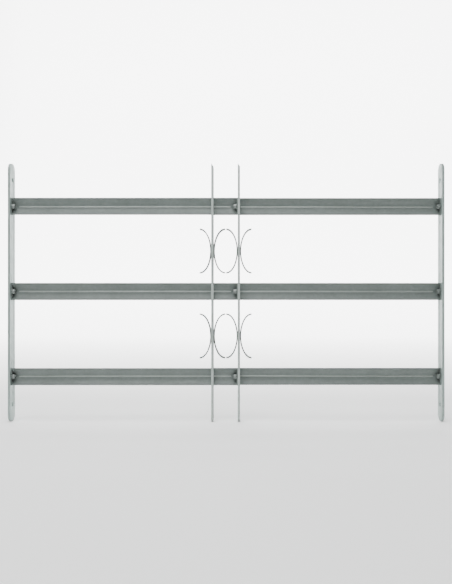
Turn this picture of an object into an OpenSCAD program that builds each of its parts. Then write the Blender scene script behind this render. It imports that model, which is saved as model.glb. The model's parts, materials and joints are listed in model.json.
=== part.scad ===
// Telescopic window security grille: two ladder frames that slide through each other.
// The left frame is a wall plate, three outer troughs and the right upright at their end.
// The right frame is a wall plate, three inner troughs and the left upright at their end.
// X runs across the window, Y from the front to the back, Z up.
// Origin: middle of the pulled-out grille's width and depth, at the foot of the wall plates.

/* [Overall] */
// Width over the wall plates, fully pulled out
width = 756; // [700:1:900]
// Height of the wall plates and uprights
height = 450; // [400:5:600]

/* [Wall plates] */
// Depth of a wall plate, front to back
plate_d = 25; // [24:1:40]
// Thickness of a wall plate
plate_t = 4; // [3.5:0.5:6]
// Distance of a wall screw hole from the plate's end
wall_hole_end = 29; // [15:1:35]
// Diameter of a wall screw hole
wall_hole_d = 8; // [5:0.5:10]

/* [Crossbars] */
// Height of the lowest crossbar's centre
first_bar_z = 78.5; // [60:0.5:90]
// Distance between crossbars
bar_pitch = 148; // [130:0.5:180]
// Height of the trough section
bar_h = 30; // [28:1:34]
// Sheet thickness of the trough
bar_t = 1.5; // [1:0.1:2]
// Depth of the trough section, from its back to its outer corners
bar_depth = 8.5; // [7.5:0.1:9]
// Set-back of the outer troughs' lips from the plates' front edge
bar_setback = 3.35; // [2:0.05:6]
// Radius of the stiffening bead along the trough
bead_r = 1.1; // [0.6:0.1:1.3]
// Bare length between a trough's end and its bead
bead_end = 12; // [8:1:20]
// Thickness of the wall that closes a trough's end
end_wall_t = 1.5; // [1:0.1:3]

/* [Uprights] */
// Distance of the left upright's centre from the left plate's outer face
left_upright_in = 354; // [300:0.5:360]
// Distance of the right upright's centre from the right plate's outer face
right_upright_in = 356; // [300:0.5:360]
// Thickness of an upright
upright_t = 4; // [3:0.5:6]
// Depth of an upright, front to back
upright_d = 18.5; // [18:0.5:24]
// Set-back of the uprights' front edge from the plates' front edge
upright_setback = 0.3; // [0:0.1:1]
// Height of the slanted cut on top
tip_slant = 7; // [2:0.5:12]
// Chamfer at the foot and head, front and back
tip_chamfer = 6; // [2:0.5:8]

/* [Scrolls] */
// Height of a scroll
scroll_h = 78; // [50:1:90]
// How far a scroll stands out from its upright
scroll_w = 20.1; // [12:0.1:24]
// Thickness of the scroll's strip
scroll_t = 2.2; // [1:0.1:2.5]
// Width of the scroll's strip, front to back
scroll_d = 12; // [8:1:15]
// Drop of a scroll's centre below the middle between its crossbars
scroll_drop = 3.5; // [0:0.5:10]

/* [Fasteners] */
// Thread diameter of the frame bolts
bolt_d = 5; // [4:0.5:5]
// Countersunk head diameter
head_d = 9; // [8:0.5:9.5]
// Countersunk head height
head_h = 2.2; // [1.8:0.1:2.4]
// Width across the flats of a lock nut
nut_af = 8; // [7:0.5:8]
// Height of a lock nut
nut_h = 5; // [4:0.5:7]
// Washer diameter
washer_d = 10; // [9:0.5:10]
// Washer thickness
washer_t = 1; // [0.6:0.1:1.5]

/* [Hidden] */

zinc = "#a9b3b0";
zinc_dark = "#8b928f";
bright_zinc = "#b9bfbd";

run_gap = 0.3;          // running clearance of everything that slides
fit_gap = 0.05;         // clearance of what is bolted or seated
hole_gap = 0.2;         // clearance of a bolt in its hole
eps = 0.01;
round_fn = 96;

plate_front = -plate_d / 2;
left_inner = -width / 2 + plate_t;
right_inner = width / 2 - plate_t;
bar_z = [for (i = [0:2]) first_bar_z + i * bar_pitch];

// Trough section: an arc open to the front. Radius, centre of curvature and half angle.
bar_r = (bar_h * bar_h / 4 + bar_depth * bar_depth) / (2 * bar_depth);
trough_ri = bar_r - bar_t;
half_angle = asin(bar_h / 2 / bar_r);
lip_y = plate_front + bar_setback;
arc_y = lip_y - trough_ri * cos(half_angle);
// The inner trough is the same section, stacked behind the outer one.
nest = bar_t / cos(half_angle) + 2 * run_gap;

upright_front = plate_front + upright_setback;
left_upright_x = -width / 2 + left_upright_in;
right_upright_x = width / 2 - right_upright_in;

// Each set of troughs ends on the far upright; the near one has slots that they run through.
outer_end_x = right_upright_x - upright_t / 2;
inner_end_x = left_upright_x + upright_t / 2;
bolt_face_x = right_upright_x + upright_t / 2;

washer_gap = 0.4;       // gap between a washer and the trough's back
bolt_y = arc_y + trough_ri - washer_d / 2 - washer_gap;
inner_bolt_y = bolt_y + nest;

nut_hex_r = nut_af / 2 / cos(30);
nut_hex_h = nut_h * 0.72;
hex_key_af = 3;
hex_key_depth = 1.2;
collar_step = 0.4;      // step from the nut's flats in to its round collar
tail_short = 0.5;       // how far a bolt ends inside its nut's collar

// Draws a section in the YZ plane and runs it along +X from x by length.
module along_x(x, length) {
    translate([x, 0, 0]) rotate([90, 0, 90]) linear_extrude(height = length) children();
}

module x_cylinder(x, length, r) {
    translate([x, 0, 0]) rotate([0, 90, 0]) cylinder(h = length, r = r, $fn = round_fn);
}

// Arc section around the centre of curvature, grown by gap on every side.
module arc_section(gap = 0) {
    reach = 2 * bar_r;
    open = half_angle + gap / bar_r * 180 / PI;
    intersection() {
        difference() {
            circle(r = bar_r + gap, $fn = round_fn);
            circle(r = trough_ri - gap, $fn = round_fn);
        }
        polygon([[0, 0], [reach * cos(open), -reach * sin(open)],
                 [reach, -reach * sin(open)], [reach, reach * sin(open)],
                 [reach * cos(open), reach * sin(open)]]);
    }
}

// Wall that closes a trough's end: the segment between the arc and its lips.
module end_segment() {
    lip = trough_ri * cos(half_angle);
    intersection() {
        circle(r = trough_ri + eps, $fn = round_fn);
        translate([lip, -bar_h / 2]) square([bar_r, bar_h]);
    }
}

// A trough from x0 to x1, z at its centre, y0 at its centre of curvature.
module trough(x0, x1, y0, z, walls, hole_y) {
    bead_x0 = x0 + bead_end;
    bead_length = x1 - x0 - 2 * bead_end;
    difference() {
        translate([0, y0, z]) {
            along_x(x0, x1 - x0) arc_section();
            translate([0, trough_ri, 0]) x_cylinder(bead_x0, bead_length, bead_r);
            for (wx = walls) along_x(wx, end_wall_t) end_segment();
        }
        translate([0, y0 + bar_r, z])
            x_cylinder(bead_x0, bead_length, bead_r - bar_t / 3);
        for (wx = walls)
            translate([0, hole_y, z])
                x_cylinder(wx - 1, end_wall_t + 2, bolt_d / 2 + hole_gap);
    }
}

module outer_trough(z) {
    color(zinc_dark)
        trough(left_inner, outer_end_x, arc_y, z,
               [left_inner, outer_end_x - end_wall_t], bolt_y);
}

module inner_trough(z) {
    color(zinc_dark)
        trough(inner_end_x, right_inner, arc_y + nest, z,
               [right_inner - end_wall_t], inner_bolt_y);
}

// Hole for a countersunk bolt through a bar whose outer face, on side, is at face_x.
module bolt_seat(face_x, side, y, z, thickness) {
    translate([face_x, y, z]) rotate([0, -side * 90, 0]) {
        translate([0, 0, -1])
            cylinder(h = thickness + 2, r = bolt_d / 2 + hole_gap, $fn = round_fn);
        translate([0, 0, -eps])
            cylinder(h = head_h + hole_gap, r1 = head_d / 2 + hole_gap,
                     r2 = bolt_d / 2 + hole_gap, $fn = round_fn);
    }
}

// side is -1 on the left and 1 on the right; hole_y is the trough bolts' place.
module wall_plate(side, hole_y) {
    outer = side * width / 2;
    x0 = min(outer, outer - side * plate_t);
    r = plate_d / 2;
    color(zinc) difference() {
        union() {
            translate([x0, -r, r]) cube([plate_t, plate_d, height - plate_d]);
            for (z = [r, height - r]) translate([0, 0, z]) x_cylinder(x0, plate_t, r);
        }
        for (z = [wall_hole_end, height - wall_hole_end])
            translate([0, 0, z]) x_cylinder(x0 - 1, plate_t + 2, wall_hole_d / 2);
        for (z = bar_z) bolt_seat(outer, side, hole_y, z, plate_t);
    }
}

// A flat bar with slots for the troughs whose centre of curvature is at slot_y.
module upright_bar(x, slot_y) {
    back = upright_front + upright_d;
    c = tip_chamfer;
    x0 = x - upright_t / 2;
    difference() {
        along_x(x0, upright_t)
            polygon([[upright_front, c], [upright_front + c, 0], [back - c, 0],
                     [back, c], [back, height - c], [back - c, height],
                     [upright_front + c, height], [upright_front, height - c]]);
        for (z = bar_z) translate([0, slot_y, z]) {
            along_x(x0 - 1, upright_t + 2) arc_section(run_gap);
            translate([0, trough_ri, 0]) x_cylinder(x0 - 1, upright_t + 2, bead_r + run_gap);
        }
        // Slanted cut that falls away to the right.
        translate([0, back + 1, 0]) rotate([90, 0, 0]) linear_extrude(height = upright_d + 2)
            polygon([[x0, height], [x + upright_t / 2 + eps, height - tip_slant],
                     [x + upright_t, height + 1], [x0, height + 1]]);
    }
}

// The outer troughs run through it; the inner troughs' ends are welded to it.
module left_upright() {
    color(zinc) upright_bar(left_upright_x, arc_y);
}

// The inner troughs run through it; the outer troughs' end walls are bolted to it.
module right_upright() {
    face = right_upright_x + upright_t / 2;
    color(zinc) difference() {
        upright_bar(right_upright_x, arc_y + nest);
        for (z = bar_z) bolt_seat(face, 1, bolt_y, z, upright_t);
    }
}

function half_ellipse(a, b, n, from, to) =
    [for (i = [0:n]) let (t = from + (to - from) * i / n) [b * cos(t), a * sin(t)]];

// A half ellipse of flat strip; side is 1 when it curves out to the right.
module scroll(face_x, side, z) {
    a = scroll_h / 2;
    bite = 0.15;        // depth of the flat that seats on the upright
    steps = 40;
    y0 = upright_front + (upright_d - scroll_d) / 2;
    color(zinc) intersection() {
        translate([face_x + side * (scroll_w - bite), y0 + scroll_d, z])
            rotate([90, 0, 0]) mirror([side > 0 ? 0 : 1, 0, 0])
                linear_extrude(height = scroll_d)
                    polygon(concat(
                        half_ellipse(a, scroll_w, steps, 90, 270),
                        half_ellipse(a - scroll_t, scroll_w - scroll_t, steps, 270, 90)));
        translate([side > 0 ? face_x : face_x - 2 * scroll_w, y0 - 1, z - scroll_h])
            cube([2 * scroll_w, scroll_d + 2, 2 * scroll_h]);
    }
}

module scroll_at(x, side, level) {
    z = (bar_z[level] + bar_z[level + 1]) / 2 - scroll_drop;
    scroll(x + side * upright_t / 2, side, z);
}

// Countersunk bolt, head face at x, shank pointing along dir through grip and nut.
module bolt(x, dir, y, z, grip) {
    color(bright_zinc) translate([x, y, z]) rotate([0, dir * 90, 0]) difference() {
        union() {
            cylinder(h = head_h, r1 = head_d / 2, r2 = bolt_d / 2, $fn = round_fn);
            cylinder(h = grip + nut_h - tail_short, r = bolt_d / 2, $fn = round_fn);
        }
        translate([0, 0, -eps])
            cylinder(h = hex_key_depth, r = hex_key_af / 2 / cos(30), $fn = 6);
    }
}

// Lock nut, seat at x: a hexagon with a round collar, pointing along dir.
module lock_nut(x, dir, y, z) {
    color(bright_zinc) translate([x, y, z]) rotate([0, dir * 90, 0]) difference() {
        union() {
            rotate([0, 0, 30]) cylinder(h = nut_hex_h, r = nut_hex_r, $fn = 6);
            cylinder(h = nut_h, r = nut_af / 2 - collar_step, $fn = round_fn);
        }
        translate([0, 0, -1])
            cylinder(h = nut_h + 2, r = bolt_d / 2 + fit_gap, $fn = round_fn);
    }
}

module washer(x, dir, y, z) {
    color(bright_zinc) translate([x, y, z]) rotate([0, dir * 90, 0]) difference() {
        cylinder(h = washer_t, r = washer_d / 2, $fn = round_fn);
        translate([0, 0, -1])
            cylinder(h = washer_t + 2, r = bolt_d / 2 + hole_gap, $fn = round_fn);
    }
}

// Three bolts through a bar of that thickness and the troughs' end walls.
// x is the bar's outer face and dir points from there into the troughs.
module bolts(x, dir, y, thickness) {
    for (z = bar_z) bolt(x, dir, y, z, thickness + end_wall_t + washer_t);
}

module washers(x, dir, y, thickness) {
    for (z = bar_z) washer(x + dir * (thickness + end_wall_t), dir, y, z);
}

module nuts(x, dir, y, thickness) {
    for (z = bar_z) lock_nut(x + dir * (thickness + end_wall_t + washer_t), dir, y, z);
}

wall_plate(-1, bolt_y);  // left_wall_plate
wall_plate(1, inner_bolt_y);  // right_wall_plate
outer_trough(bar_z[0]);  // outer_trough_bottom
outer_trough(bar_z[1]);  // outer_trough_middle
outer_trough(bar_z[2]);  // outer_trough_top
inner_trough(bar_z[0]);  // inner_trough_bottom
inner_trough(bar_z[1]);  // inner_trough_middle
inner_trough(bar_z[2]);  // inner_trough_top
left_upright();
right_upright();
scroll_at(left_upright_x, -1, 0);  // left_scroll_lower_outside
scroll_at(left_upright_x, 1, 0);  // left_scroll_lower_inside
scroll_at(left_upright_x, -1, 1);  // left_scroll_upper_outside
scroll_at(left_upright_x, 1, 1);  // left_scroll_upper_inside
scroll_at(right_upright_x, 1, 0);  // right_scroll_lower_outside
scroll_at(right_upright_x, -1, 0);  // right_scroll_lower_inside
scroll_at(right_upright_x, 1, 1);  // right_scroll_upper_outside
scroll_at(right_upright_x, -1, 1);  // right_scroll_upper_inside
bolts(-width / 2, 1, bolt_y, plate_t);  // left_plate_bolts
washers(-width / 2, 1, bolt_y, plate_t);  // left_plate_washers
nuts(-width / 2, 1, bolt_y, plate_t);  // left_plate_nuts
bolts(width / 2, -1, inner_bolt_y, plate_t);  // right_plate_bolts
washers(width / 2, -1, inner_bolt_y, plate_t);  // right_plate_washers
nuts(width / 2, -1, inner_bolt_y, plate_t);  // right_plate_nuts
bolts(bolt_face_x, -1, bolt_y, upright_t);  // upright_bolts
washers(bolt_face_x, -1, bolt_y, upright_t);  // upright_washers
nuts(bolt_face_x, -1, bolt_y, upright_t);  // upright_nuts
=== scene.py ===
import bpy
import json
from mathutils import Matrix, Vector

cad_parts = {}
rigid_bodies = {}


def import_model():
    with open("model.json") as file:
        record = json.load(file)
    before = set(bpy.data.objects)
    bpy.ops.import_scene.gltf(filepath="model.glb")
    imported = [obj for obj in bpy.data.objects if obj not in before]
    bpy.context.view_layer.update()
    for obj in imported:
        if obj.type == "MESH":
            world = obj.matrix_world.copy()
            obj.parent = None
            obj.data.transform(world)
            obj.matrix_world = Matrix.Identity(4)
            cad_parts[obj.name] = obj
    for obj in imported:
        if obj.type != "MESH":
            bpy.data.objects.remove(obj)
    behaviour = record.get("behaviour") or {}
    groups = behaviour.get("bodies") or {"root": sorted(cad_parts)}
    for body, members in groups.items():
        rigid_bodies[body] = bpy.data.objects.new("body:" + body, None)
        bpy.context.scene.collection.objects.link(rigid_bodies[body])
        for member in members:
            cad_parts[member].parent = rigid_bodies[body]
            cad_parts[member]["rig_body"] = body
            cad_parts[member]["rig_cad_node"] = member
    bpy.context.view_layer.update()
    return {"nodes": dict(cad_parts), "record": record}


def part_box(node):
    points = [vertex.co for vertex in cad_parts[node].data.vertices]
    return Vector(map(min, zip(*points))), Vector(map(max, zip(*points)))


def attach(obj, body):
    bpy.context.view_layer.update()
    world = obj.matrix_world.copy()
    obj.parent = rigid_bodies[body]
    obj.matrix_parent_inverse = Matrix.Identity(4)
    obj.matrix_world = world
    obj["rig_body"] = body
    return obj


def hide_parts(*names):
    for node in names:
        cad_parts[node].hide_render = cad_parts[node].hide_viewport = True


bl_info = {
    "name": "Telescopic Window Grille",
    "version": (1, 0, 0),
    "blender": (4, 5, 0),
    "location": "3D View > Sidebar > Grille",
    "description": "Models the finished pieces of a window grille that pulls out to width",
    "category": "Add Mesh",
}

import json
import math

import bpy
from mathutils import Vector

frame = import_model()

MM = 0.001
LEVELS = ("bottom", "middle", "top")
FIXED = "fixed_frame"
SLIDING = "sliding_frame"
QUARTER = math.pi / 2
HOLE_GAP = 0.2 * MM         # clearance of a bolt in its hole
FIT_GAP = 0.05 * MM         # clearance of a bolt in its nut
OVERSHOOT = 1 * MM          # how far a cutter passes the faces it goes through
SHEET_BREAK = 0.15 * MM     # rounding of sheared sheet edges


# Sizes read off the frame

def middle(node):
    low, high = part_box(node)
    return (low + high) / 2


LEFT_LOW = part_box("left_wall_plate")[0]
BAR_Z = [middle(f"outer_trough_{level}").z for level in LEVELS]
WALL_HOLES = next(m for m in frame["record"]["mounts"] if m["name"] == "left_wall_holes")


class GrilleSizes(bpy.types.PropertyGroup):
    """Sizes of the details that the frame doesn't carry."""
    edge_break: bpy.props.FloatProperty(
        name="Edge break", description="Rounding of the wall plates' cut edges",
        default=0.35 * MM, min=0.05 * MM, max=1 * MM, subtype="DISTANCE", unit="LENGTH")
    upright_break: bpy.props.FloatProperty(
        name="Upright edge break", description="Rounding of the uprights' cut edges",
        default=0.2 * MM, min=0.05 * MM, max=1 * MM, subtype="DISTANCE", unit="LENGTH")
    sheet: bpy.props.FloatProperty(
        name="Sheet", description="Thickness of the troughs' sheet",
        default=1.5 * MM, min=0.8 * MM, max=3 * MM, subtype="DISTANCE", unit="LENGTH")
    strip: bpy.props.FloatProperty(
        name="Strip", description="Thickness of the scrolls' strip",
        default=2.2 * MM, min=0.8 * MM, max=3 * MM, subtype="DISTANCE", unit="LENGTH")
    trough_radius: bpy.props.FloatProperty(
        name="Trough radius", description="Outer radius of the troughs' section",
        default=17.485 * MM, min=16 * MM, max=30 * MM, subtype="DISTANCE", unit="LENGTH")
    bead_height: bpy.props.FloatProperty(
        name="Bead height", description="How far the stiffening bead stands out of the trough",
        default=1.05 * MM, min=0.2 * MM, max=2 * MM, subtype="DISTANCE", unit="LENGTH")
    bead_half_width: bpy.props.FloatProperty(
        name="Bead half width", description="Half the width of the stiffening bead",
        default=1.2 * MM, min=0.6 * MM, max=4 * MM, subtype="DISTANCE", unit="LENGTH")
    bead_end: bpy.props.FloatProperty(
        name="Bead end", description="Bare length between a trough's end and its bead",
        default=12 * MM, min=5 * MM, max=40 * MM, subtype="DISTANCE", unit="LENGTH")
    bead_ramp: bpy.props.FloatProperty(
        name="Bead ramp", description="Length over which the bead rises",
        default=3 * MM, min=0.5 * MM, max=10 * MM, subtype="DISTANCE", unit="LENGTH")
    bolt: bpy.props.FloatProperty(
        name="Bolt", description="Thread diameter of the frame bolts",
        default=5 * MM, min=3 * MM, max=8 * MM, subtype="DISTANCE", unit="LENGTH")
    socket: bpy.props.FloatProperty(
        name="Socket", description="Width across the flats of the bolts' hexagon socket",
        default=3 * MM, min=2 * MM, max=5 * MM, subtype="DISTANCE", unit="LENGTH")


class GrilleColours(bpy.types.PropertyGroup):
    """Colours of the metals and the studio, as sRGB hex."""
    plate: bpy.props.StringProperty(
        name="Plates", description="Zinc coat of the wall plates", default="#93A19D")
    upright: bpy.props.StringProperty(
        name="Uprights", description="Zinc coat of the uprights", default="#A9B3AF")
    trough: bpy.props.StringProperty(
        name="Troughs", description="Zinc coat of the roll-formed troughs", default="#717976")
    # The bead crest's lighter colour is a painted highlight along the bead.
    bead: bpy.props.StringProperty(
        name="Bead crest", description="Zinc burnished by the forming rolls along the bead",
        default="#9CA4A0")
    scroll: bpy.props.StringProperty(
        name="Scrolls", description="Zinc coat of the bent strips", default="#565D5A")
    fastener: bpy.props.StringProperty(
        name="Fasteners", description="Zinc plate of the bolts, nuts and washers",
        default="#737A77")
    backdrop: bpy.props.StringProperty(
        name="Backdrop", description="Painted studio sweep", default="#FAFAFA")


# Selecting and editing

def only(*objects):
    """Leaves just these objects selected, the last one active."""
    bpy.ops.object.select_all(action="DESELECT")
    for item in objects:
        item.select_set(True)
    bpy.context.view_layer.objects.active = objects[-1]


def start():
    bpy.ops.object.select_all(action="DESELECT")


def settle():
    """Puts the active object at the origin, with its place in its mesh."""
    bpy.ops.object.transform_apply(location=True, rotation=True, scale=True)
    return bpy.context.active_object


def pick_vertices(piece, test):
    """Selects the vertices that pass the test, and nothing else, and enters edit mode."""
    only(piece)
    bpy.ops.object.mode_set(mode="EDIT")
    bpy.ops.mesh.select_mode(type="VERT")
    bpy.ops.mesh.select_all(action="DESELECT")
    bpy.ops.object.mode_set(mode="OBJECT")
    for vertex in piece.data.vertices:
        vertex.select = test(vertex.co)
    bpy.ops.object.mode_set(mode="EDIT")


def cut(piece, point, normal, drop=None, fill=False):
    """Bisects the whole mesh; drop is None, "front" (the normal's side) or "back"."""
    only(piece)
    bpy.ops.object.mode_set(mode="EDIT")
    bpy.ops.mesh.select_all(action="SELECT")
    bpy.ops.mesh.bisect(
        plane_co=point, plane_no=normal, use_fill=fill,
        clear_outer=drop == "front", clear_inner=drop == "back", threshold=1e-6)
    bpy.ops.object.mode_set(mode="OBJECT")


def modify(piece, kind, **settings):
    """Adds a modifier, sets it and applies it."""
    only(piece)
    modifier = piece.modifiers.new(kind.title(), kind)
    for key, value in settings.items():
        setattr(modifier, key, value)
    bpy.ops.object.modifier_apply(modifier=modifier.name)


def break_edges(piece, width, segments=2, angle=50):
    modify(piece, "BEVEL", width=width, segments=segments, limit_method="ANGLE",
           angle_limit=math.radians(angle), use_clamp_overlap=True)


def outward(piece):
    only(piece)
    bpy.ops.object.mode_set(mode="EDIT")
    bpy.ops.mesh.select_all(action="SELECT")
    bpy.ops.mesh.remove_doubles(threshold=1e-6)
    bpy.ops.mesh.normals_make_consistent(inside=False)
    bpy.ops.object.mode_set(mode="OBJECT")


def x_cylinder(x0, x1, y, z, radius, vertices=96, fill="NGON"):
    """A cylinder along X, from x0 to x1."""
    start()
    bpy.ops.mesh.primitive_cylinder_add(
        vertices=vertices, radius=radius, depth=abs(x1 - x0), end_fill_type=fill,
        location=((x0 + x1) / 2, y, z), rotation=(0, QUARTER, 0))
    return settle()


def drill(piece, cutter):
    modify(piece, "BOOLEAN", operation="DIFFERENCE", solver="EXACT", object=cutter)
    bpy.data.objects.remove(cutter)


def join(*pieces):
    only(*pieces)
    bpy.ops.object.join()
    return bpy.context.active_object


def copy_to(piece, offset):
    """A copy with its own mesh, moved by offset."""
    only(piece)
    bpy.ops.object.duplicate(linked=False)
    bpy.ops.transform.translate(value=offset)
    return settle()


def cad_copy(node):
    """A copy of a CAD node with its triangles merged back into flat faces."""
    only(frame["nodes"][node])
    bpy.ops.object.duplicate(linked=False)
    piece = bpy.context.active_object
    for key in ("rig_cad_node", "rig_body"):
        if key in piece:
            del piece[key]
    piece.parent = None
    bpy.ops.object.mode_set(mode="EDIT")
    bpy.ops.mesh.select_all(action="SELECT")
    bpy.ops.mesh.remove_doubles(threshold=2e-6)
    bpy.ops.mesh.dissolve_limited(angle_limit=math.radians(0.5))
    bpy.ops.object.mode_set(mode="OBJECT")
    return piece


def finished(piece, name, node, body, material, smooth=35):
    """Names a piece, gives it its metal and lets it ride in place of its CAD node."""
    only(piece)
    bpy.ops.object.shade_smooth_by_angle(angle=math.radians(smooth))
    piece.name = name
    piece.data.name = name
    piece.data.materials.clear()
    piece.data.materials.append(material)
    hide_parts(node)
    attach(piece, body)
    return piece


# Materials

def linear(hex_colour):
    """sRGB hex to linear RGBA."""
    channels = [int(hex_colour[i:i + 2], 16) / 255 for i in (1, 3, 5)]
    return [c / 12.92 if c <= 0.04045 else ((c + 0.055) / 1.055) ** 2.4
            for c in channels] + [1]


def add_node(material, kind, settings=None, links=None):
    """Adds a node; settings are attributes or input values, links feed its inputs."""
    node = material.node_tree.nodes.new(kind)
    for key, value in (settings or {}).items():
        if isinstance(key, str) and hasattr(node, key):
            setattr(node, key, value)
        else:
            node.inputs[key].default_value = value
    for key, source in (links or {}).items():
        material.node_tree.links.new(source, node.inputs[key])
    return node


def new_material(name):
    material = bpy.data.materials.new(name)
    material.use_nodes = True
    material.node_tree.nodes.clear()
    return material


def shaded(colour, amount):
    """A linear colour, made lighter or darker by a factor."""
    return [c * amount for c in colour[:3]] + [1]


def galvanised(name, hex_colour, spangle_mm, contrast, metallic, roughness, grain):
    """Zinc on steel: crystals of spangle_mm across, each a little lighter or duller than
    the next, under a fine grain that runs along the bar, stretched by grain (x, y, z).
    The zinc's dull bloom scatters light, so the coat is only slightly metallic."""
    material = new_material(name)
    colour = linear(hex_colour)
    place = add_node(material, "ShaderNodeTexCoord").outputs["Object"]
    cells = add_node(
        material, "ShaderNodeTexVoronoi",
        {"Scale": 1 / (spangle_mm * MM), "Randomness": 1.0}, {"Vector": place})
    crystal = add_node(
        material, "ShaderNodeSeparateColor", links={"Color": cells.outputs["Color"]})
    cloud = add_node(
        material, "ShaderNodeTexNoise",
        {"Scale": 1 / (40 * MM), "Detail": 3.0, "Roughness": 0.6}, {"Vector": place})
    # Real rolling marks are finer; they are drawn 0.8 mm apart so that they show.
    along = add_node(
        material, "ShaderNodeMapping", {"Scale": grain}, {"Vector": place})
    scratches = add_node(
        material, "ShaderNodeTexNoise",
        {"Scale": 1 / (0.8 * MM), "Detail": 2.0}, {"Vector": along.outputs["Vector"]})
    spangle_colour = add_node(
        material, "ShaderNodeMix",
        {"data_type": "RGBA", 6: shaded(colour, 1 - contrast), 7: shaded(colour, 1 + contrast)},
        {0: crystal.outputs["Red"]})
    bloom = add_node(
        material, "ShaderNodeMapRange",
        {"From Min": 0.3, "From Max": 0.7, "To Min": 0.92, "To Max": 1.05},
        {"Value": cloud.outputs["Fac"]})
    coat = add_node(
        material, "ShaderNodeVectorMath", {"operation": "SCALE"},
        {0: spangle_colour.outputs[2], "Scale": bloom.outputs["Result"]})
    gloss = add_node(
        material, "ShaderNodeMapRange",
        {"To Min": roughness - 0.06, "To Max": roughness + 0.08},
        {"Value": crystal.outputs["Green"]})
    relief = add_node(
        material, "ShaderNodeBump", {"Strength": 0.12, "Distance": 0.05 * MM},
        {"Height": scratches.outputs["Fac"]})
    shader = add_node(
        material, "ShaderNodeBsdfPrincipled", {"Metallic": metallic},
        {"Base Color": coat.outputs["Vector"], "Roughness": gloss.outputs["Result"],
         "Normal": relief.outputs["Normal"]})
    add_node(material, "ShaderNodeOutputMaterial", links={"Surface": shader.outputs["BSDF"]})
    return material


def hot_dip_flat_bar(colour, name):
    # Hot-dip galvanised flat bar: frosty crystals about 7 mm across, satin, greenish grey.
    return galvanised(name, colour, 7.0, 0.06, 0.2, 0.5, (1.0, 1.0, 0.08))


def roll_formed_sheet(colour):
    # Pre-galvanised sheet, roll-formed: small crystals drawn out, with fine lines lengthwise.
    return galvanised("roll_formed_galvanised_sheet", colour, 4.0, 0.04, 0.2, 0.55,
                      (0.06, 1.0, 1.0))


def painted_bead_highlight(colour):
    # The same sheet on the bead's crest: smoother, and lighter as a painted highlight along the
    # crest.
    return galvanised("painted_bead_highlight_crest", colour, 4.0, 0.03, 0.3, 0.4, (0.06, 1.0, 1.0))


def bent_strip(colour):
    # Galvanised strip bent cold: fine crystals, a little duller than the bars.
    return galvanised("bent_galvanised_strip", colour, 3.0, 0.05, 0.2, 0.55,
                      (1.0, 1.0, 0.2))


def bright_zinc_plate(colour):
    # Electroplated zinc on turned and forged fasteners: glossier, with hardly any crystals.
    return galvanised("bright_zinc_plate", colour, 1.2, 0.02, 0.5, 0.4, (1.0, 1.0, 1.0))


def sweep_glow_and_paint(colour):
    # Matte emulsion on a studio sweep: flat white, with a faint roller texture. It glows in
    # a pool of painted light behind the grille, as if washed by lamps, and fades out to the
    # sides and front.
    material = new_material("matte_sweep_glow_and_paint")
    place = add_node(material, "ShaderNodeTexCoord").outputs["Object"]
    stipple = add_node(
        material, "ShaderNodeTexNoise", {"Scale": 1 / (4 * MM)}, {"Vector": place})
    relief = add_node(
        material, "ShaderNodeBump", {"Strength": 0.03, "Distance": 0.1 * MM},
        {"Height": stipple.outputs["Fac"]})
    axes = add_node(
        material, "ShaderNodeSeparateXYZ", links={"Vector": place})
    sideways = add_node(
        material, "ShaderNodeMath", {"operation": "ABSOLUTE"}, {0: axes.outputs["X"]})
    # Painted light: emission that stands in for lamps washing the sweep behind the grille.
    pool = add_node(
        material, "ShaderNodeMapRange",
        {"From Min": 1.7, "From Max": 3.4, "To Min": 5.0, "To Max": 0.8},
        {"Value": sideways.outputs["Value"]})
    glow = add_node(
        material, "ShaderNodeMapRange",
        {"From Min": 0.25, "From Max": 3.0, "To Min": 0.05},
        {"Value": axes.outputs["Y"], "To Max": pool.outputs["Result"]})
    shader = add_node(
        material, "ShaderNodeBsdfPrincipled",
        {"Base Color": linear(colour), "Roughness": 0.9,
         "Emission Color": (1.0, 1.0, 1.0, 1.0)},
        {"Normal": relief.outputs["Normal"], "Emission Strength": glow.outputs["Result"]})
    add_node(material, "ShaderNodeOutputMaterial", links={"Surface": shader.outputs["BSDF"]})
    return material


def metal(key):
    """The metal of that name, made the first time it is asked for."""
    colours = bpy.context.scene.grille_colours
    makers = {
        "plate": ("hot_dip_plate_bar",
                  lambda: hot_dip_flat_bar(colours.plate, "hot_dip_plate_bar")),
        "upright": ("hot_dip_upright_bar",
                    lambda: hot_dip_flat_bar(colours.upright, "hot_dip_upright_bar")),
        "trough": ("roll_formed_galvanised_sheet", lambda: roll_formed_sheet(colours.trough)),
        # The bead crest metal is lighter: a painted highlight.
        "bead": ("painted_bead_highlight_crest", lambda: painted_bead_highlight(colours.bead)),
        "scroll": ("bent_galvanised_strip", lambda: bent_strip(colours.scroll)),
        "fastener": ("bright_zinc_plate", lambda: bright_zinc_plate(colours.fastener)),
    }
    name, make = makers[key]
    return bpy.data.materials.get(name) or make()


# Operators

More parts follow.
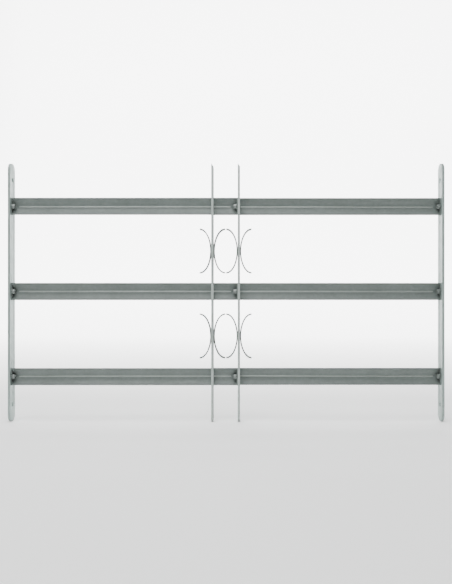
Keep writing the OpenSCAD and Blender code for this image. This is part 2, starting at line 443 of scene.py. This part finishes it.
class GRILLE_OT_stage(bpy.types.Operator):
    """Sets up the camera, the white studio sweep and the soft lights"""
    bl_idname = "grille.stage"
    bl_label = "Studio"

    def execute(self, context):
        self.camera(context)
        self.sweep(context)
        self.lights(context)
        return {"FINISHED"}

    def camera(self, context):
        # Square on to the grille, a little right of its middle, at half its height.
        start()
        distance = 1106 * MM
        eye = Vector((24.7 * MM, LEFT_LOW.y - distance, 226.5 * MM))
        bpy.ops.object.camera_add(location=eye, rotation=(QUARTER, 0, 0))
        camera = context.active_object
        camera.data.lens = 39.4
        camera.data.shift_x = -0.0247
        camera.data.shift_y = -0.0009
        context.scene.camera = camera

    def sweep(self, context):
        """A floor, twice as wide as it is deep, that curves up into a wall at the back."""
        depth = 8
        wall_height = 5
        start()
        bpy.ops.mesh.primitive_plane_add(size=depth, location=(0, 0, LEFT_LOW.z))
        bpy.ops.transform.resize(value=(2, 1, 1))
        floor = settle()
        pick_vertices(floor, lambda co: co.y > 0)
        bpy.ops.mesh.select_mode(type="EDGE")
        bpy.ops.mesh.extrude_region_move(
            TRANSFORM_OT_translate={"value": (0, 0, wall_height)})
        bpy.ops.object.mode_set(mode="OBJECT")
        modify(floor, "BEVEL", width=2.0, segments=24, limit_method="ANGLE",
               angle_limit=math.radians(60))
        only(floor)
        bpy.ops.object.shade_smooth()
        floor.name = "studio_sweep"
        floor.data.materials.append(sweep_glow_and_paint(context.scene.grille_colours.backdrop))

    def lights(self, context):
        world = context.scene.world or bpy.data.worlds.new("studio_air")
        context.scene.world = world
        world.use_nodes = True
        background = world.node_tree.nodes["Background"]
        background.inputs["Color"].default_value = (0.9, 0.97, 0.94, 1)
        background.inputs["Strength"].default_value = 0.28
        self.softbox("top_softbox", Vector((-0.2, -0.45, 1.35)),
                     Vector((0, 0, 225 * MM)), size=1.1, power=24)
        for side in (-1, 1):
            self.softbox("sweep_light", Vector((side * 1.6, 1.4, 2.6)),
                         Vector((side * 0.8, 4.0, 1.2)), size=2.0, power=90)

    def softbox(self, name, place, aim, size, power):
        """A square lamp at place, turned to aim, size in metres and power in watts."""
        start()
        bpy.ops.object.light_add(type="AREA", location=place)
        light = bpy.context.active_object
        light.name = name
        light.data.size = size
        light.data.energy = power
        light.rotation_euler = (aim - place).to_track_quat("-Z", "Y").to_euler()


class GRILLE_OT_wall_plates(bpy.types.Operator):
    """Models the two round-ended wall plates with their screw and bolt holes"""
    bl_idname = "grille.wall_plates"
    bl_label = "Wall plates"

    def execute(self, context):
        self.plate("left", -1, FIXED)
        self.plate("right", 1, SLIDING)
        return {"FINISHED"}

    def plate(self, side, way, body):
        sizes = bpy.context.scene.grille_sizes
        low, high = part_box(f"{side}_wall_plate")
        radius = (high.y - low.y) / 2
        # A short thick disc, pulled apart at its middle into a bar with round ends.
        plate = x_cylinder(low.x, high.x, 0, low.z + radius, radius, vertices=128)
        pick_vertices(plate, lambda co: co.z > low.z + radius + 0.01 * MM)
        bpy.ops.transform.translate(value=(0, 0, high.z - low.z - 2 * radius))
        bpy.ops.object.mode_set(mode="OBJECT")
        self.holes(plate, side, way, low, high)
        break_edges(plate, sizes.edge_break)
        finished(plate, f"{side}_plate_bar", f"{side}_wall_plate", body,
                 metal("plate"))

    def holes(self, plate, side, way, low, high):
        sizes = bpy.context.scene.grille_sizes
        dims = WALL_HOLES["dims"]
        centre_z = WALL_HOLES["pos_m"][2]
        half_pitch = dims["spacing_y_mm"] * MM / 2
        x0, x1 = low.x - OVERSHOOT, high.x + OVERSHOOT
        for z in (centre_z - half_pitch, centre_z + half_pitch):
            drill(plate, x_cylinder(x0, x1, 0, z, dims["hole_r_mm"] * MM, vertices=64))
        y = middle(f"{side}_plate_bolts").y
        head_low, head_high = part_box(f"{side}_plate_bolts")
        head_radius = (head_high.y - head_low.y) / 2
        outer = low.x if way < 0 else high.x
        for z in BAR_Z:
            drill(plate, x_cylinder(x0, x1, y, z, sizes.bolt / 2 + HOLE_GAP, vertices=48))
            drill(plate, countersink(outer, -way, y, z, head_radius + HOLE_GAP))


def countersink(x, way, y, z, radius):
    """A cone whose wide end lies on the face at x and which narrows along way."""
    depth = 2.4 * MM
    narrowing = 2 * MM
    proud = 0.02 * MM       # the wide end stands just clear of the face
    start()
    bpy.ops.mesh.primitive_cone_add(
        vertices=64, radius1=radius + proud, radius2=radius - narrowing, depth=depth,
        location=(x + way * (depth / 2 - proud), y, z), rotation=(0, way * QUARTER, 0))
    return settle()


class GRILLE_OT_troughs(bpy.types.Operator):
    """Models the roll-formed crossbar troughs with their beads and end walls"""
    bl_idname = "grille.troughs"
    bl_label = "Troughs"

    def execute(self, context):
        self.set_of_three("outer", FIXED, both_walls=True)
        self.set_of_three("inner", SLIDING, both_walls=False)
        return {"FINISHED"}

    def set_of_three(self, kind, body, both_walls):
        first = self.trough(kind, both_walls)
        bars = [first] + [copy_to(first, (0, 0, z - BAR_Z[0])) for z in BAR_Z[1:]]
        for bar, level in zip(bars, LEVELS):
            finished(bar, f"{kind}_trough_{level}_sheet", f"{kind}_trough_{level}", body,
                     metal("trough"))
            # Paints a highlight: the bead's front crest gets a lighter colour.
            self.paint_crest_highlight(bar, kind)

    def trough(self, kind, both_walls):
        sizes = bpy.context.scene.grille_sizes
        low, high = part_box(f"{kind}_trough_{LEVELS[0]}")
        z = BAR_Z[0]
        axis_y = high.y - sizes.trough_radius
        # The back skin is the part of a tube behind its lips.
        sheet = x_cylinder(low.x, high.x, axis_y, z, sizes.trough_radius, 240, "NOTHING")
        cut(sheet, (0, axis_y, z), (0, -1, 0), drop="front")
        cut(sheet, (0, axis_y, high.z), (0, 0, 1), drop="front")
        cut(sheet, (0, axis_y, low.z), (0, 0, -1), drop="front")
        self.bead(sheet, low.x, high.x, z)
        modify(sheet, "SOLIDIFY", thickness=sizes.sheet, offset=-1, use_even_offset=True)
        outward(sheet)
        break_edges(sheet, SHEET_BREAK, angle=60)
        ends = [(high.x - sizes.sheet, high.x)]
        if both_walls:
            ends.append((low.x, low.x + sizes.sheet))
        bolt_y = middle("left_plate_bolts" if kind == "outer" else "right_plate_bolts").y
        walls = [self.end_wall(x0, x1, axis_y, z, low.y, bolt_y) for x0, x1 in ends]
        return join(*walls, sheet)

    def bead(self, sheet, x0, x1, z):
        """Presses a rounded rib forward along the middle, with a ramp at either end."""
        sizes = bpy.context.scene.grille_sizes
        near = 1e-6
        rise = sizes.bead_end + sizes.bead_ramp
        for x in (x0 + sizes.bead_end, x0 + rise, x1 - rise, x1 - sizes.bead_end):
            cut(sheet, (x, 0, z), (1, 0, 0))
        heights = sorted({round(v.co.z, 6) for v in sheet.data.vertices
                          if abs(v.co.z - z) < sizes.bead_half_width})
        for height in heights:
            share = math.cos(QUARTER * (height - z) / sizes.bead_half_width) ** 2
            pick_vertices(sheet, lambda co: abs(co.z - height) < near
                          and x0 + rise - near < co.x < x1 - rise + near)
            bpy.ops.transform.translate(value=(0, -share * sizes.bead_height, 0))
            bpy.ops.object.mode_set(mode="OBJECT")

    def paint_crest_highlight(self, bar, kind):
        """Gives the bead's front crest its own smoother finish, lighter in colour as a painted
        highlight.
        """
        sizes = bpy.context.scene.grille_sizes
        low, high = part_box(f"{kind}_trough_{LEVELS[0]}")
        z = sum(corner[2] for corner in bar.bound_box) / 8
        # The bead is the only part of the middle that stands in front of the skin.
        front_y = high.y - sizes.sheet - 0.1 * MM
        bar.data.materials.append(metal("bead"))
        for face in bar.data.polygons:
            centre = face.center
            on_crest = abs(centre.z - z) < sizes.bead_half_width * 0.8
            # Front-facing crest faces take the lighter colour, a painted highlight.
            if on_crest and centre.y < front_y and face.normal.y < -0.1:
                inside = low.x + sizes.bead_end < centre.x < high.x - sizes.bead_end
                face.material_index = int(inside)

    def end_wall(self, x0, x1, axis_y, z, lip_y, bolt_y):
        """The segment of a disc that closes the trough, with its bolt hole."""
        sizes = bpy.context.scene.grille_sizes
        inset = 0.2 * MM        # keeps the wall just behind the lips
        inner = sizes.trough_radius - sizes.sheet
        wall = x_cylinder(x0, x1, axis_y, z, inner, 240)
        cut(wall, (0, lip_y + inset, z), (0, -1, 0), drop="front", fill=True)
        drill(wall, x_cylinder(x0 - sizes.sheet, x1 + sizes.sheet, bolt_y, z,
                               sizes.bolt / 2 + HOLE_GAP, vertices=48))
        break_edges(wall, SHEET_BREAK)
        return wall


class GRILLE_OT_uprights(bpy.types.Operator):
    """Finishes the two uprights, with their slanted tops and chamfered feet, by softening their
    edges
    """
    bl_idname = "grille.uprights"
    bl_label = "Uprights"

    def execute(self, context):
        sizes = context.scene.grille_sizes
        for side, body in (("left", SLIDING), ("right", FIXED)):
            bar = cad_copy(f"{side}_upright")
            break_edges(bar, sizes.upright_break, angle=20)
            finished(bar, f"{side}_upright_bar", f"{side}_upright", body,
                     metal("upright"))
        return {"FINISHED"}


class GRILLE_OT_scrolls(bpy.types.Operator):
    """Models the eight half-oval scrolls of bent strip"""
    bl_idname = "grille.scrolls"
    bl_label = "Scrolls"

    def execute(self, context):
        for side, out, body in (("left", -1, SLIDING), ("right", 1, FIXED)):
            for place, way in (("outside", out), ("inside", -out)):
                lower = self.strip(f"{side}_scroll_lower_{place}", way)
                rise = (middle(f"{side}_scroll_upper_{place}").z
                        - middle(f"{side}_scroll_lower_{place}").z)
                upper = copy_to(lower, (0, 0, rise))
                for piece, level in ((lower, "lower"), (upper, "upper")):
                    node = f"{side}_scroll_{level}_{place}"
                    finished(piece, f"{node}_strip", node, body,
                             metal("scroll"))
        return {"FINISHED"}

    def strip(self, node, way):
        """A band round half an oval, bulging against way, with its flat on the upright."""
        sizes = bpy.context.scene.grille_sizes
        low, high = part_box(node)
        centre = (low + high) / 2
        bite = 0.15 * MM        # depth of the flat that seats on the upright
        tip_x = high.x if way > 0 else low.x
        face_x = low.x if way > 0 else high.x
        half_height = (high.z - low.z) / 2
        reach = high.x - low.x + bite
        start()
        bpy.ops.mesh.primitive_cylinder_add(
            vertices=192, radius=half_height, depth=high.y - low.y,
            end_fill_type="NOTHING", location=(tip_x, centre.y, centre.z),
            rotation=(QUARTER, 0, 0))
        band = settle()
        pick_vertices(band, lambda co: True)
        bpy.ops.transform.resize(value=(reach / half_height, 1, 1),
                                 center_override=(tip_x, centre.y, centre.z))
        bpy.ops.object.mode_set(mode="OBJECT")
        cut(band, (tip_x, 0, 0), (way, 0, 0), drop="front")
        modify(band, "SOLIDIFY", thickness=sizes.strip, offset=-1, use_even_offset=True)
        outward(band)
        cut(band, (face_x, 0, 0), (-way, 0, 0), drop="front", fill=True)
        break_edges(band, 0.3 * MM, angle=60)
        return band


class GRILLE_OT_fasteners(bpy.types.Operator):
    """Models the countersunk bolts, washers and lock nuts"""
    bl_idname = "grille.fasteners"
    bl_label = "Fasteners"

    def execute(self, context):
        for group, way, body in (("left_plate", 1, FIXED), ("upright", -1, FIXED),
                                 ("right_plate", -1, SLIDING)):
            for kind, make in (("bolts", self.bolt), ("washers", self.washer),
                               ("nuts", self.lock_nut)):
                node = f"{group}_{kind}"
                low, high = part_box(node)
                first = make(low, high, way)
                rest = [copy_to(first, (0, 0, z - BAR_Z[0])) for z in BAR_Z[1:]]
                trio = join(first, *rest)
                finished(trio, f"{node}_set", node, body,
                         metal("fastener"), smooth=30)
        return {"FINISHED"}

    def seat(self, low, high, way):
        """The end face that the piece starts from, and the place of its axis."""
        return (low.x if way > 0 else high.x), (low.y + high.y) / 2, BAR_Z[0]

    def bolt(self, low, high, way):
        sizes = bpy.context.scene.grille_sizes
        x, y, z = self.seat(low, high, way)
        head_radius = (high.y - low.y) / 2
        head = head_radius - sizes.bolt / 2 + 0.2 * MM
        socket_depth = 1.2 * MM
        start()
        bpy.ops.mesh.primitive_cone_add(
            vertices=64, radius1=head_radius, radius2=sizes.bolt / 2, depth=head,
            location=(x + way * head / 2, y, z), rotation=(0, way * QUARTER, 0))
        cone = settle()
        drill(cone, x_cylinder(x - way * OVERSHOOT, x + way * socket_depth, y, z,
                               sizes.socket / 2 / math.cos(math.pi / 6), vertices=6))
        break_edges(cone, 0.12 * MM, angle=40)
        shank_x = x + way * (socket_depth + 0.1 * MM)
        shank = x_cylinder(shank_x, high.x if way > 0 else low.x, y, z,
                           sizes.bolt / 2, vertices=48)
        break_edges(shank, 0.25 * MM)
        return join(shank, cone)

    def washer(self, low, high, way):
        sizes = bpy.context.scene.grille_sizes
        _, y, z = self.seat(low, high, way)
        washer = x_cylinder(low.x, high.x, y, z, (high.y - low.y) / 2, vertices=64)
        drill(washer, x_cylinder(low.x - OVERSHOOT, high.x + OVERSHOOT, y, z,
                                 sizes.bolt / 2 + HOLE_GAP, vertices=48))
        break_edges(washer, 0.12 * MM)
        return washer

    def lock_nut(self, low, high, way):
        """A hexagon with broken corners and a round collar, open over the bolt's end."""
        sizes = bpy.context.scene.grille_sizes
        x, y, z = self.seat(low, high, way)
        tip = x + way * (high.x - low.x)
        hexagon_share = 0.72    # of the nut's height; the collar is the rest
        shoulder = x + way * (high.x - low.x) * hexagon_share
        corner = (high.y - low.y) / 2
        collar_radius = corner * math.cos(math.pi / 6) - 0.4 * MM
        body = x_cylinder(x, shoulder, y, z, corner, vertices=6)
        break_edges(body, 0.3 * MM, angle=40)
        collar = x_cylinder(shoulder - way * 0.2 * MM, tip, y, z, collar_radius, vertices=64)
        drill(collar, x_cylinder(shoulder - way * OVERSHOOT, tip + way * OVERSHOOT, y, z,
                                 sizes.bolt / 2 + FIT_GAP, vertices=48))
        break_edges(collar, 0.25 * MM)
        return join(collar, body)


class GRILLE_PT_panel(bpy.types.Panel):
    """Lists the grille's pieces in the sidebar"""
    bl_idname = "GRILLE_PT_panel"
    bl_label = "Window grille"
    bl_space_type = "VIEW_3D"
    bl_region_type = "UI"
    bl_category = "Grille"

    def draw(self, context):
        layout = self.layout
        for operator in OPERATORS:
            layout.operator(operator.bl_idname)
        for group in (context.scene.grille_sizes, context.scene.grille_colours):
            box = layout.box()
            for name in group.bl_rna.properties.keys():
                if name not in ("rna_type", "name"):
                    box.prop(group, name)


OPERATORS = (
    GRILLE_OT_stage,
    GRILLE_OT_wall_plates,
    GRILLE_OT_troughs,
    GRILLE_OT_uprights,
    GRILLE_OT_scrolls,
    GRILLE_OT_fasteners,
)
CLASSES = (GrilleSizes, GrilleColours) + OPERATORS + (GRILLE_PT_panel,)


def register():
    for item in CLASSES:
        bpy.utils.register_class(item)
    bpy.types.Scene.grille_sizes = bpy.props.PointerProperty(type=GrilleSizes)
    bpy.types.Scene.grille_colours = bpy.props.PointerProperty(type=GrilleColours)


def unregister():
    del bpy.types.Scene.grille_colours
    del bpy.types.Scene.grille_sizes
    for item in reversed(CLASSES):
        bpy.utils.unregister_class(item)


def main():
    register()
    bpy.ops.grille.stage()
    bpy.ops.grille.wall_plates()
    bpy.ops.grille.troughs()
    bpy.ops.grille.uprights()
    bpy.ops.grille.scrolls()
    bpy.ops.grille.fasteners()


if __name__ == "__main__":
    main()
